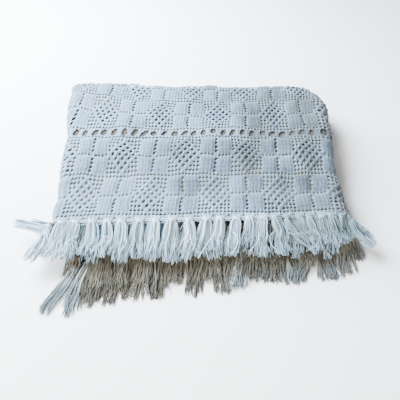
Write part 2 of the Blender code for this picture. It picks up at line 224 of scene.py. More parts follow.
def cell_form(col, row):
    """The kind of hole in a cell, or how its stitches stand: a puff, close or plain."""
    kind, i, j = block_cell(col, row)
    if kind == "edge":
        return "edge_hole" if col % 2 == 0 else "close"
    if kind == "slit":
        return "slit"
    if kind == "mesh":
        in_diamond = abs(i) + abs(j) <= BLOCK_REACH
        if in_diamond and (i + j) % 2 == 0:
            return "puff"
        return "mesh_open" if in_diamond else "mesh_small"
    if kind == "block":
        if (i == 0) == (j == 0):
            return "close"
        return "column" if i == 0 else "row_slit"
    return "plain"


def row_to_length(row, col):
    """Distance along the cloth from the fringed edge; rows bow to the back at the sides."""
    bow = BOW_DEPTH * smooth((row - BOW_FIRST_ROW) / BOW_ROWS) * np.minimum((col / BOW_COL) ** 2, BOW_LIMIT)
    return (row + EDGING_ROWS) * ROW_HEIGHT + bow


def soft_folds(C, R):
    """How far the cloth's soft folds and pulls lift it at a column and row."""
    wave = 0.0028 * np.sin(C * 0.35 + 0.62 * R + 0.6) * np.exp(-((R - 16.0) / 6.0) ** 2)
    wave += 0.0024 * np.sin(C * 0.21 - 0.26 * R) + 0.0014 * np.sin(0.78 * R + 0.19 * C + 1.0)
    return wave + 0.0012 * np.sin(C * 0.70 + 0.30 * np.sin(0.5 * R)) * smooth(R / 6)


# Meshes

def make_mesh(name, verts, faces, uv=None, **values):
    mesh = bpy.data.meshes.new(name)
    mesh.from_pydata([tuple(p) for p in verts], [], [tuple(f) for f in faces])
    mesh.update()
    if uv is not None:
        layer = mesh.uv_layers.new(name="pattern")
        loops = np.empty(len(mesh.loops), int)
        mesh.loops.foreach_get("vertex_index", loops)
        layer.data.foreach_set("uv", np.ascontiguousarray(uv[loops], np.float32).ravel())
    for attribute, value in values.items():
        attr = mesh.attributes.new(attribute, "FLOAT", "POINT")
        attr.data.foreach_set("value", np.ascontiguousarray(value, np.float32))
    mesh.polygons.foreach_set("use_smooth", [True] * len(mesh.polygons))
    thing = bpy.data.objects.new(name, mesh)
    bpy.context.scene.collection.objects.link(thing)
    return thing


def whole_quads(inside):
    """Quads of a grid with all four corners inside."""
    return inside[:-1, :-1] & inside[1:, 1:] & inside[:-1, 1:] & inside[1:, :-1]


def cloth_mesh(name, points, keep, C, R, thickness, **values):
    """Sheet over a grid of points, without the quads that aren't kept and the points they leave."""
    ids = np.arange(C.size).reshape(C.shape)
    quads = np.stack([ids[:-1, :-1], ids[:-1, 1:], ids[1:, 1:], ids[1:, :-1]], -1)[keep]
    used = np.zeros(C.size, bool)
    used[quads.ravel()] = True
    index = np.cumsum(used) - 1
    uv = np.stack([C, R], -1).reshape(-1, 2)[used]
    values = {key: value.reshape(-1)[used] for key, value in values.items()}
    thing = make_mesh(name, points.reshape(-1, 3)[used], index[quads], uv, **values)
    solid = thing.modifiers.new("thickness", "SOLIDIFY")
    solid.thickness, solid.offset = thickness, 0.0
    return thing


# The outer layer, with its openwork

SUB_X, SUB_Y = 4, 3
COL_FIRST, COL_LAST = -50, 48
ROW_FIRST, ROW_LAST = -1, 39
OUTER_THICKNESS = 0.0013
TUCK_IN = 0.004

HOLE_SIZE_SPREAD, HOLE_SHIFT, HOLE_SLANT, HOLE_SLANT_SPREAD = 0.10, 0.035, 0.15, 0.05
HOLE_CORNER, HOLE_MIDDLE = 0.62, 1.15
HOLE_SINK = 0.0005
HOLE_SHADE = 0.8

PUFF_HEIGHT = 0.0020
PUFF_SPREAD = 0.12
PUFF_FORM = np.array([[0.8, 1.0, 0.5], [0.5, 1.0, 0.8]])
PUFF_SLANT = np.array([[-0.05], [0.09]])
PILLOW_HEIGHT = 0.0024
PILLOW_EDGE, PILLOW_END = 0.9, 4.6
RIB_DEPTH = 0.0007
# painted shade: close stitches are painted a little darker than the open ones, most where their block swells
BLOCK_SHADE = 0.28

BAND_PITCH = 3
BAND_LOW, BAND_HIGH, BAND_MARGIN = 20.38, 22.62, 0.05
BAND_HOLE_X, BAND_HOLE_Y, BAND_HOLE_SPREAD = 0.84, 0.99, 0.07
BAND_HOLE_REACH = 1.9
BAND_SHIFT_SPREAD, BAND_SHIFT_LIMIT, BAND_PITCH_SPREAD = 0.15, 0.22, 0.12
BAND_LEAN, BAND_LEAN_SPREAD = 0.30, 0.16
# a hole's quads go within this share of its radius, and the points between the other two make its rim
OPEN_WITHIN, RIM_FROM, RIM_TO = 0.98, 0.45, 1.12
BAND_SINK = 0.0006

# the crease across the back left corner meets the back edge here
CREASE_COL, CREASE_ROW, CREASE_SLOPE = -41.5, 35.5, 0.75
# the furrow of the crease is also painted darker: painted shade
FURROW_DEPTH, CORNER_DROP, FURROW_SHADE = 0.0026, 0.0030, 0.40
STITCH_SPREAD = 0.00022


def outer_grid():
    """Even points over the outer layer's cells, with what each cell does to them."""
    nx = (COL_LAST - COL_FIRST + 1) * SUB_X + 1
    ny = (ROW_LAST - ROW_FIRST + 1) * SUB_Y + 1
    across = COL_FIRST - 0.5 + np.arange(nx) / SUB_X
    up = ROW_FIRST - 0.5 + np.arange(ny) / SUB_Y
    C, R = np.meshgrid(across, up)
    mid_c, mid_r = np.meshgrid((across[:-1] + across[1:]) / 2, (up[:-1] + up[1:]) / 2)
    return SimpleNamespace(
        C=C, R=R, mid_c=mid_c, mid_r=mid_r, keep=np.ones(mid_c.shape, bool),
        lift=np.zeros_like(C), painted_shade=np.zeros_like(C), gap=np.zeros_like(C))


def open_hole(grid, x0, y0, col, row, hole):
    """Open a six-sided hole in a cell, a little uneven and slanting."""
    w, h = HOLE_SIZES[hole]
    w, h = w * RNG.normal(1.0, HOLE_SIZE_SPREAD), h * RNG.normal(1.0, HOLE_SIZE_SPREAD)
    jx, jy = RNG.normal(0, HOLE_SHIFT), RNG.normal(0, HOLE_SHIFT)
    slant = RNG.normal(HOLE_SLANT, HOLE_SLANT_SPREAD)
    grid.keep[y0 + 1, x0 + 1:x0 + 3] = False
    for up, way in ((1, -1), (2, 1)):
        for over, side, reach in ((1, -1, HOLE_CORNER), (2, 0, HOLE_MIDDLE), (3, 1, HOLE_CORNER)):
            grid.C[y0 + up, x0 + over] = col + side * w + jx + slant * way
            grid.R[y0 + up, x0 + over] = row + way * h * reach + jy
    around = np.s_[y0 + 1:y0 + 3, x0 + 1:x0 + 4]
    grid.lift[around] -= HOLE_SINK
    # painted shade round the hole
    grid.gap[around] = HOLE_SHADE


def raise_puff(grid, x0, y0):
    """A round puff that leans like its neighbours."""
    around = np.s_[y0 + 1:y0 + 3, x0 + 1:x0 + 4]
    grid.lift[around] += PUFF_HEIGHT * RNG.normal(1.0, PUFF_SPREAD) * PUFF_FORM
    grid.C[around] += PUFF_SLANT


def pillow(across, up, col, row):
    """Quarter of a solid block swells softly between its rows of gaps."""
    kind, i, j = block_cell(col, row)
    if kind != "block":
        return 0.0
    u, w = np.abs(across - (col - i)), np.abs(up - (row - j))
    swell_across = smooth((u - 0.4) / PILLOW_EDGE) * smooth((PILLOW_END - u) / PILLOW_EDGE)
    swell_up = smooth((w - 0.2) / PILLOW_EDGE) * smooth((PILLOW_END - w) / PILLOW_EDGE)
    return PILLOW_HEIGHT * swell_across * swell_up


def raise_close(grid, x0, y0, col, row):
    """Close stitches swell with their block, with a furrow between one column and the next."""
    cell = np.s_[y0:y0 + SUB_Y, x0:x0 + SUB_X]
    raised = pillow(grid.C[cell], grid.R[cell], col, row)
    grid.lift[cell] += raised
    # painted shade on the swelling block
    grid.painted_shade[cell] += BLOCK_SHADE * raised / PILLOW_HEIGHT
    grid.lift[y0:y0 + SUB_Y, x0] -= RIB_DEPTH


def work_cells(grid):
    for a, row in enumerate(range(ROW_FIRST, ROW_LAST + 1)):
        for b, col in enumerate(range(COL_FIRST, COL_LAST + 1)):
            form = cell_form(col, row)
            x0, y0 = b * SUB_X, a * SUB_Y
            if form in HOLE_SIZES:
                open_hole(grid, x0, y0, col, row, form)
            elif form == "puff":
                raise_puff(grid, x0, y0)
            elif form == "close":
                raise_close(grid, x0, y0, col, row)


def open_band_hole(grid, col):
    """A large rounded gap between two twisted bars of the lace band."""
    cx = col + RNG.normal(0, BAND_PITCH_SPREAD)
    shift = np.clip(RNG.normal(0, BAND_SHIFT_SPREAD), -BAND_SHIFT_LIMIT, BAND_SHIFT_LIMIT)
    cy = BAND_CENTRE + float(shift)
    rx, ry = BAND_HOLE_X + RNG.normal(0, BAND_HOLE_SPREAD), BAND_HOLE_Y + RNG.normal(0, BAND_HOLE_SPREAD)
    lean = RNG.normal(BAND_LEAN, BAND_LEAN_SPREAD)

    def in_oval(c, r):
        return (c - cx - lean * (r - cy)) / rx, (r - cy) / ry

    in_band = (grid.mid_r > BAND_LOW) & (grid.mid_r < BAND_HIGH)
    grid.keep &= ~((np.hypot(*in_oval(grid.mid_c, grid.mid_r)) < OPEN_WITHIN) & in_band)
    # points near the hole's rim move onto it
    u, w = in_oval(grid.C, grid.R)
    radius = np.hypot(u, w)
    beside = np.abs(grid.C - cx) < BAND_HOLE_REACH
    near = beside & (grid.R > BAND_LOW - BAND_MARGIN) & (grid.R < BAND_HIGH + BAND_MARGIN)
    moved = near & (radius > RIM_FROM) & (radius < RIM_TO)
    scale = 1.0 / np.maximum(radius, 1e-6)
    grid.C = np.where(moved, cx + u * scale * rx + lean * (w * scale * ry), grid.C)
    grid.R = np.where(moved, cy + w * scale * ry, grid.R)


def corner_crease(C, R):
    """How far the creased back left corner sinks, and how near its furrow is."""
    beyond = (R - CREASE_ROW) - CREASE_SLOPE * (C - CREASE_COL)
    at_corner = smooth((CREASE_COL + 1.5 - C) / 2)
    furrow = np.exp(-(beyond / 0.7) ** 2) * at_corner
    return FURROW_DEPTH * furrow + CORNER_DROP * smooth(beyond / 0.8) * at_corner, furrow


def uneven_place(C, R):
    """Place across and along the cloth: hand work never lies quite straight."""
    drift = smooth(R / 3)
    aside = 0.16 * np.sin(0.45 * R + 0.13 * C) + 0.10 * np.sin(1.1 * R - 0.4 * C)
    ahead = 0.15 * np.sin(0.37 * C + 0.2 * R) + 0.08 * np.sin(0.9 * C)
    return (C + drift * aside) * CELL_WIDTH, np.maximum(row_to_length(R + drift * ahead, C), 0.0005)


def build_outer():
    grid = outer_grid()
    work_cells(grid)
    for k in range(COL_FIRST // BAND_PITCH, COL_LAST // BAND_PITCH + 1):
        open_band_hole(grid, BAND_PITCH * k)
    C, R = grid.C, grid.R
    lift = grid.lift - BAND_SINK * np.exp(-((R - BAND_CENTRE) / 0.8) ** 2)
    s, v = uneven_place(C, R)
    y, _ = profile(v)
    last_v = BACK_FOLD + FOLD_ARC + TUCK_IN
    points, normals = surface_frame(s, np.minimum(v, last_v))
    sunk, furrow = corner_crease(C, R)
    wrinkle = soft_folds(C, R) - sunk
    stitch = RNG.normal(0, STITCH_SPREAD, C.shape)
    # the cloth lies flat where it turns in under the pile
    rise = smooth((points[..., 2] - 0.004) / 0.024)
    points = points + normals * ((lift + wrinkle + stitch) * rise)[..., None]
    in_width = (s > -left_edge(y) - math.pi * LEFT_RADIUS) & (s < right_edge(y) + math.pi * RIGHT_RADIUS)
    keep = grid.keep & whole_quads(in_width) & whole_quads(v < last_v)
    # the 'inner' value carries the painted shade of the blocks and the crease, the 'gap' value that round the
    # holes
    thing = cloth_mesh("crochet_outer", points, keep, C, R, OUTER_THICKNESS,
                       inner=grid.painted_shade + FURROW_SHADE * furrow, gap=grid.gap)
    # the rims of the gaps, where little light comes, take a material of their own in a darker, neutral
    # colour: painted shade
    thing.modifiers["thickness"].material_offset_rim = 1
    return thing


# The rest of the folded cloth

INNER_THICKNESS = 0.0022
# the layer under the openwork lies this much closer to it than in the solids
NESTLE = 0.0042
EASE = 0.03
RIDGE_HEIGHT = 0.0006
FRONT_SHADE, BACK_SHADE = 0.45, 1.0


def across_stations(left, right):
    """Places across the cloth, from the end of the middle strip to the end of the bottom one."""
    left_end, right_end = left + math.pi * LEFT_RADIUS, right + math.pi * RIGHT_RADIUS
    flat = np.linspace(0, 1, 61)[None, :]
    left_turn = np.linspace(0, 1, 10)[None, :]
    right_turn = np.linspace(0, 1, 13)[None, :]
    return np.concatenate([
        -left_end - MIDDLE_STRIP_LENGTH * (1 - flat[:, :-1]),
        -left_end + (left_end - left) * left_turn[:, :-1],
        -left + (right + left) * flat[:, :-1],
        right + (right_end - right) * right_turn[:, :-1],
        right_end + BOTTOM_STRIP_LENGTH * flat,
    ], axis=1)


def nestle(s, v, y, left, right):
    """How far the layer under the openwork rises to it, with its soft folds."""
    second = (v > BACK_FOLD + FOLD_ARC) & (v < 2 * BACK_FOLD - FRONT_FOLD_SETBACK + FOLD_ARC)
    well_in = smooth((s + left + 0.015) / EASE) * smooth((right + 0.045 - s) / EASE)
    well_in = well_in * smooth((BACK_FOLD - y) / EASE) * smooth((y - FRONT_FOLD_SETBACK) / EASE)
    return second * well_in * (NESTLE + soft_folds(s / CELL_WIDTH, y / ROW_HEIGHT - EDGING_ROWS))


def build_inner():
    """The middle and bottom strips and the inner layers, as one sheet."""
    stations = np.unique(np.concatenate([
        np.linspace(0, BACK_FOLD, 45),
        BACK_FOLD + np.linspace(0, FOLD_ARC, 7),
        np.linspace(BACK_FOLD + FOLD_ARC, CLOTH_LENGTH, 130),
    ]))
    y = profile(stations)[0][:, None]
    left, right = left_edge(y), right_edge(y)
    s = across_stations(left, right)
    v = np.broadcast_to(stations[:, None], s.shape)
    points, normals = surface_frame(s, v)
    C, R = s / CELL_WIDTH, v / ROW_HEIGHT - EDGING_ROWS
    ridges = RIDGE_HEIGHT * np.sin(C * np.pi) * np.sin(R * np.pi * 0.5)
    on_floor = points[..., 2] < 0.004
    points = points + normals * np.where(on_floor, 0.0, ridges)[..., None]
    points = points - normals * nestle(s, v, y, left, right)[..., None]
    covered = (s > -left - math.pi * LEFT_RADIUS - 1e-6) & (s < right + math.pi * RIGHT_RADIUS + 1e-6)
    covered = covered & (v < BACK_FOLD + FOLD_ARC + 0.002)
    # painted shade: the inner layers are darker behind their front edge, and light again at the back
    depth_in = smooth((y - FRONT_FOLD_SETBACK) / EASE)
    shade = FRONT_SHADE + (BACK_SHADE - FRONT_SHADE) * depth_in
    inner = np.where(v > BACK_FOLD + FOLD_ARC * 0.5, shade, 0.0) * smooth((PILE_DEPTH - y) / 0.02)
    return cloth_mesh("crochet_layers", points, ~whole_quads(covered), C, R, INNER_THICKNESS, inner=inner)


# Fringe

# For each row the strip and layer that carry it, its length as a share of the full tassel, how much shade
# it lies in, lean in degrees of a first tassel that lies out to the side, height of its tips, lift over what
# lies under it, splay of its left end in degrees, yarns and clumps a tassel, and points and sides a yarn
FRINGE_ROWS = (
    dict(name="fringe_a_top", strip="top", layers=1.5, setback=0.0, length=0.90, shade=0.0, side_lean=0,
         tip=0.0290, lift=0.0205, splay=0.0, power=1.3, bulk=1.0, yarns=50, clumps=8, points=14, sides=5),
    dict(name="fringe_b_top", strip="flat", layers=-1.5, setback=END_B_SETBACK, length=0.85, shade=0.35,
         side_lean=98, tip=0.0260, lift=0.0185, splay=34.0, power=1.1, bulk=0.7,
         yarns=24, clumps=5, points=10, sides=4),
    dict(name="fringe_b_middle", strip="middle", layers=-1.5, setback=END_B_SETBACK, length=0.82, shade=1.0,
         side_lean=86, tip=0.0175, lift=0.0112, splay=100.0, power=1.2, bulk=0.7,
         yarns=24, clumps=6, points=11, sides=4),
    dict(name="fringe_a_middle", strip="middle", layers=1.5, setback=0.0, length=0.80, shade=1.0, side_lean=0,
         tip=0.0115, lift=0.0055, splay=34.0, power=2.0, bulk=0.7, yarns=22, clumps=5, points=11, sides=4),
    dict(name="fringe_b_bottom", strip="bottom", layers=-1.5, setback=END_B_SETBACK, length=0.76, shade=1.0,
         side_lean=0, tip=0.0068, lift=0.0, splay=10.0, power=3.0, bulk=0.8,
         yarns=34, clumps=6, points=11, sides=4),
    dict(name="fringe_a_bottom", strip="bottom", layers=1.5, setback=0.0, length=0.90, shade=1.0, side_lean=0,
         tip=0.0022, lift=0.0, splay=14.0, power=1.0, bulk=1.0, yarns=54, clumps=7, points=13, sides=5),
)
TOP_ROW, LOW_ROW = "fringe_a_top", "fringe_a_bottom"
TOP_ROW_LEFT_TURN, TOP_ROW_RIGHT_TURN = 1.25, 1.50
SPLAY_LENGTH, SPLAY_POWER = 0.110, 1.5
SUPPORT_ON_CLOTH, SUPPORT_ON_FRINGE, SUPPORT_FALL = 0.0205, 0.0068, 0.050
TASSEL_PITCH = 4 * CELL_WIDTH
TASSEL_LENGTH = 0.098
YARN_RADIUS = 0.00078
FLOOR_CLEARANCE = 0.0001
KNOT_AT = 0.0032
LEAST_REACH = 0.3
# place along the top row in tassels, lean to the left in degrees and length of each of its tassels
TOP_TASSELS = (
    (-0.7, 15, 0.86), (0.2, 13, 0.88), (1.1, 8, 0.84), (2.2, 11, 0.80), (3.2, 7, 0.84), (4.1, 6, 0.86),
    (5.3, 6, 0.84), (6.3, 5, 0.89), (7.4, 5, 0.91), (8.5, 3, 0.95), (9.65, 11, 0.84), (10.55, 11, 0.78),
    (11.6, 7, 0.84), (12.5, 7, 0.68), (13.4, 0, 0.86), (14.2, -15, 0.84), (15.0, -56, 0.95),
    (15.8, -38, 0.66), (16.5, -24, 0.74), (17.3, -8, 0.62), (17.9, -30, 0.70), (18.5, -36, 0.60),
    (19.0, -49, 0.76), (-0.5, 106, 0.84),
)
# from this place on the top row's tassels are wider
WIDE_FROM, WIDE = 15.0, 1.15
# place along the bottom row in tassels, length and shade of each; some are tucked in under the pile
LOW_TASSELS = (
    (0.0, 1.15, 0.50), (0.7, 1.15, 0.55), (1.4, 1.00, 0.97), (2.0, 0.88, 1.0), (2.6, 0.98, 1.0),
    (3.3, 0.72, 1.0), (4.1, 0.95, 1.0), (4.8, 0.93, 0.94), (5.8, 0.95, 1.0), (6.7, 0.68, 1.0),
    (7.6, 0.97, 0.97), (8.6, 0.66, 1.0), (9.6, 1.00, 0.95), (10.8, 0.95, 0.70), (11.7, 0.80, 0.85),
    (12.6, 0.84, 0.95), (13.4, 0.93, 0.88), (14.3, 0.90, 0.74), (15.1, 0.93, 0.84), (15.9, 0.95, 0.88),
    (16.6, 0.93, 0.76), (17.3, 0.86, 0.90), (18.0, 0.80, 0.92),
)
# the two tassels at the lower left corner hang out further
LOW_CORNER_LEANS, LOW_CORNER_SLIM = (24, 9), 0.75
# place along the row in tassels, way it sets out and ends in degrees, and length of each loose yarn
STRAY_YARNS = (
    (10.4, 34, 37, 0.062), (11.3, -60, 60, 0.050), (14.2, 60, -100, 0.070), (15.3, -40, -250, 0.075),
    (15.9, 20, 260, 0.070), (16.4, -80, 90, 0.055), (13.0, -20, 70, 0.045), (6.2, -30, 50, 0.040),
    (3.4, 40, -30, 0.045), (17.6, -70, 30, 0.050), (8.7, 10, -60, 0.040), (1.6, 70, 10, 0.050),
)
# a loose yarn starts at this point of a tassel's line, this far above it
STRAY_POINTS, STRAY_FROM, STRAY_RISE = 16, 6, 0.0085
# distance from the edge, half width and half height of a tassel there
BODY = np.array([
    (0.0000, 0.0070, 0.0024),
    (0.0030, 0.0060, 0.0044),
    (0.0075, 0.0118, 0.0088),
    (0.0145, 0.0147, 0.0108),
    (0.0300, 0.0164, 0.0100),
    (0.0550, 0.0176, 0.0084),
    (0.0900, 0.0186, 0.0042),
])
EDGE_RADIUS, TUBE_SIDES = 0.0016, 5
# how far ahead of the edge and how far down each strand of the chain-stitch edge lies
EDGE_STRANDS = ((0.0008, -0.0012), (0.0030, 0.0002), (0.0050, 0.0022))
# how far ahead of the edge, how wide apart and how high the yarns drawn through it lie
EDGE_LOOP = ((-0.0075, 1.35, 0.0016), (-0.0030, 1.25, 0.0032), (0.0020, 1.15, 0.0034))
LOOP_COUNT, LOOP_PITCH, LOOP_RADIUS, LOOP_END_HEIGHT = 6, 0.0028, 0.0011, 0.0034
WRAP_COUNT, WRAP_PITCH, WRAP_RADIUS = 3, 0.0021, 0.0013
NECK_HALF_WIDTH, NECK_HALF_HEIGHT = 0.0080, 0.0052
CORE_END, CORE_SIDES, CORE_WIDTH, CORE_HEIGHT = 0.72, 9, 0.74, 0.24
# the core takes nearly the deepest tone: painted shade among the yarns inside a tassel
WRAP_TONE, LOOP_TONE, EDGE_TONE, CORE_TONE = 0.75, 0.40, 0.35, 0.05


def unit(vectors):
    return vectors / np.maximum(np.linalg.norm(vectors, axis=-1, keepdims=True), 1e-9)


def tube(paths, radius, sides):
    """Open tubes round many polylines of the same length. paths is (count, points, 3)."""
    count, n, _ = paths.shape
    tangent = unit(np.gradient(paths, axis=1))
    upright = np.abs(tangent[..., 2:3]) >= 0.9
    side = unit(np.cross(tangent, np.where(upright, np.array([1.0, 0.0, 0.0]), np.array([0.0, 0.0, 1.0]))))
    other = np.cross(side, tangent)
    angle = np.arange(sides)[:, None] * 2 * math.pi / sides
    reach = np.broadcast_to(radius, (count, n))[..., None, None]
    ring = paths[:, :, None, :] + reach * (
        side[:, :, None, :] * np.cos(angle) + other[:, :, None, :] * np.sin(angle))
    ids = np.arange(count * n * sides).reshape(count, n, sides)
    return ring.reshape(-1, 3), ring_quads(ids)


def ring_quads(ids):
    """Quads between rings of points that follow each other."""
    after = np.roll(ids, -1, axis=-1)
    corners = [ids[..., :-1, :], after[..., :-1, :], after[..., 1:, :], ids[..., 1:, :]]
    return np.stack(corners, -1).reshape(-1, 4)


class Bundle:
    """Gathers the tubes of one row of fringe into a single mesh."""

    def __init__(self):
        self.points, self.faces, self.tones, self.shades = [], [], [], []
        self.count = 0

    def add(self, points, faces, tone, shade):
        # nothing sinks into the floor
        points[:, 2] += max(0.0, FLOOR_CLEARANCE - points[:, 2].min())
        self.points.append(points)
        self.faces.append(faces + self.count)
        self.tones.append(np.broadcast_to(tone, len(points)))
        self.shades.append(np.full(len(points), shade))
        self.count += len(points)

    def mesh(self, name):
        return make_mesh(name, np.concatenate(self.points), np.concatenate(self.faces),
                         tone=np.concatenate(self.tones), shade=np.concatenate(self.shades))


def fringe_span(strip):
    """Where a row of fringe begins and ends across the cloth."""
    left, right = float(left_edge(0.0)), float(right_edge(0.0))
    left_end, right_end = left + math.pi * LEFT_RADIUS, right + math.pi * RIGHT_RADIUS
    return {
        "top": (-left - TOP_ROW_LEFT_TURN * LEFT_RADIUS, right + TOP_ROW_RIGHT_TURN * RIGHT_RADIUS),
        "flat": (-left, right),
        "middle": (-left_end, -left_end - MIDDLE_STRIP_LENGTH),
        "bottom": (right_end + BOTTOM_STRIP_LENGTH, right_end),
    }[strip]


def edge_place(row, along):
    """Point on the cloth's edge at a distance along the row, and the way up from it."""
    begin, end = fringe_span(row["strip"])
    s = begin + (1 if end > begin else -1) * along
    _, _, out_x, out_z = width_path(np.array(s), np.array(0.0))
    place = cloth_point(s, row["setback"], row["layers"] * LAYER_PITCH)
    up = np.array([float(out_x), 0.0, float(out_z)])
    if row["strip"] in ("middle", "bottom"):
        up = -up
    return np.asarray(place, float), up


def support_height(x, y):
    """Height of what a tassel rests on, from the cloth at the edge down to the fringe before it."""
    edge = edge_skew(x, 0.0) - forward_slip(x)
    beyond = np.clip((edge - y) / SUPPORT_FALL, 0.0, 1.0)
    return SUPPORT_ON_CLOTH + (SUPPORT_ON_FRINGE - SUPPORT_ON_CLOTH) * beyond


def tassel_line(row, middle, lean, stretch, bend):
    """Middle line of a tassel from the cloth's edge to its tips, the way to its side and to its top."""
    root, up = edge_place(row, middle)
    full = TASSEL_LENGTH * stretch
    length = full - KNOT_AT
    stations = np.linspace(0, 1, row["points"] - 2) ** 1.15
    q = np.concatenate([[0.0, KNOT_AT / 2], KNOT_AT + length * stations])
    share = np.maximum(q - KNOT_AT, 0.0) / length
    drop = max(root[2] - row["tip"], 0.0)
    level = math.sqrt(max(1 - (drop / length) ** 2, LEAST_REACH ** 2))
    turn = lean * (0.35 + 0.65 * smooth(share / 0.30)) * (q > KNOT_AT * 0.5)
    turn = turn + bend * np.sin(2 * math.pi * share)
    step = np.diff(q, prepend=0.0) * np.where(q > KNOT_AT, level, 1.0)
    x = root[0] - np.cumsum(np.sin(turn) * step)
    y = root[1] - np.cumsum(np.cos(turn) * step)
    z = root[2] - drop * (1 - (1 - share) ** row["power"])
    if row["lift"] > 0:
        z = np.maximum(z, support_height(x - CENTRE[0], y - CENTRE[1]) + row["lift"])
    line = np.stack([x, y, z], -1)
    # at a roll the tassel starts on the roll's slope and levels out towards its tips
    slope = (1 - smooth(share / 0.5))[:, None]
    top = np.array([0.0, 0.0, 1.0]) * (1 - slope) + up * slope
    along = np.gradient(line, axis=0)
    side = unit(np.cross(along, top))
    top = unit(np.cross(side, along))
    return SimpleNamespace(line=line, side=-side, top=top, q=q, t=q / q[-1])


def tassel_plan(row, k, first, total):
    """Place along the edge, lean, length, width and shade of a tassel."""
    place, degrees, length = k, 0.0, None
    slim, shade = 1.0, row["shade"]
    if row["name"] == TOP_ROW:
        place, degrees, length = TOP_TASSELS[k]
        slim = WIDE if place >= WIDE_FROM else 1.0
    if row["name"] == LOW_ROW:
        place, length, shade = LOW_TASSELS[k]
    middle = first + TASSEL_PITCH * place
    if row["name"] == TOP_ROW:
        lean = math.radians(degrees) + RNG.normal(0, 0.04)
    else:
        fall = 1 - float(smooth(middle / SPLAY_LENGTH))
        lean = math.radians(row["splay"] * fall ** SPLAY_POWER) + RNG.normal(0.03, 0.13)
        if row["strip"] == "bottom":
            lean -= 0.20 * float(smooth((middle - total + 0.09) / 0.09))
    usual = row["length"] + RNG.normal(0, 0.07)
    stretch = usual if length is None else length
    if row["name"] == LOW_ROW and k < len(LOW_CORNER_LEANS):
        lean, slim = math.radians(LOW_CORNER_LEANS[k]), LOW_CORNER_SLIM
    if k == 0 and row["name"] == "fringe_b_bottom":
        # the first tassel of this row is a short one
        stretch = 0.5
    if k == 0 and row["side_lean"]:
        lean, shade = math.radians(row["side_lean"]), 0.25
    if lean > 1.3:
        # those that lie out to the side are drawn thin
        slim, stretch = 0.58, max(stretch, 0.92)
    return middle, lean, stretch, slim, shade


def hang_tassel(row, k, first, total):
    """Lay out a tassel: its middle line and its half width and half height along it."""
    middle, lean, stretch, slim, shade = tassel_plan(row, k, first, total)
    tassel = tassel_line(row, middle, lean, stretch, RNG.normal(0, 0.16))
    tassel.middle, tassel.slim, tassel.shade = middle, slim, shade
    tassel.half_w = np.interp(tassel.q, BODY[:, 0], BODY[:, 1]) * RNG.normal(1.0, 0.06) * slim
    if row["name"] != TOP_ROW:
        tassel.half_w = tassel.half_w * (1 + 0.22 * tassel.t)
    tassel.half_h = np.interp(tassel.q, BODY[:, 0], BODY[:, 2]) * row["bulk"] * RNG.normal(1.0, 0.08)
    return tassel


def along_tassel(tassel, at):
    """Middle line and side and top directions at shares of a tassel's length."""
    return [np.stack([np.interp(at, tassel.t, parts[:, c]) for c in range(3)], -1)
            for parts in (tassel.line, tassel.side, tassel.top)]


def clump_tones(row, tassel):
    tones = RNG.uniform(0.25, 1.0, row["clumps"])
    if row["name"] != TOP_ROW:
        tones = 0.32 * tones + RNG.uniform(-0.12, 0.16)
    if row["name"] == LOW_ROW:
        # painted shade: the lowest row is darker towards its left-hand end
        tones = tones - 0.30 * (1 - float(smooth(tassel.middle / 0.20)))
    return tones


def tone_along(row, tassel):
    """How the tone changes from the edge to the tips."""
    t, x = tassel.t, tassel.line[0, 0]
    if row["name"] == TOP_ROW:
        # painted shade: all but its left-hand end is greyer at the tips
        return -(0.30 + 0.45 * float(smooth((x + 0.26) / 0.12))) * smooth((t - 0.45) / 0.45)
    # painted light: yarns are paler near the edge, where the rows above shade them
    tone = 0.70 * (1 - smooth(t / 0.75))
    # painted light: away from its tips the fringe is paler towards its right-hand end, where it lies in deep
    # shade
    tone = tone + 0.40 * float(smooth((x + 0.05) / 0.15)) * (1 - smooth((t - 0.45) / 0.4))
    if row["name"] == LOW_ROW:
        # painted light and shade: the lowest row is paler where the rows above shade it and greyer at its
        # tips, which lie in full light
        tone = tone + (0.30 - 0.48 * smooth((t - 0.50) / 0.25))
    return tone


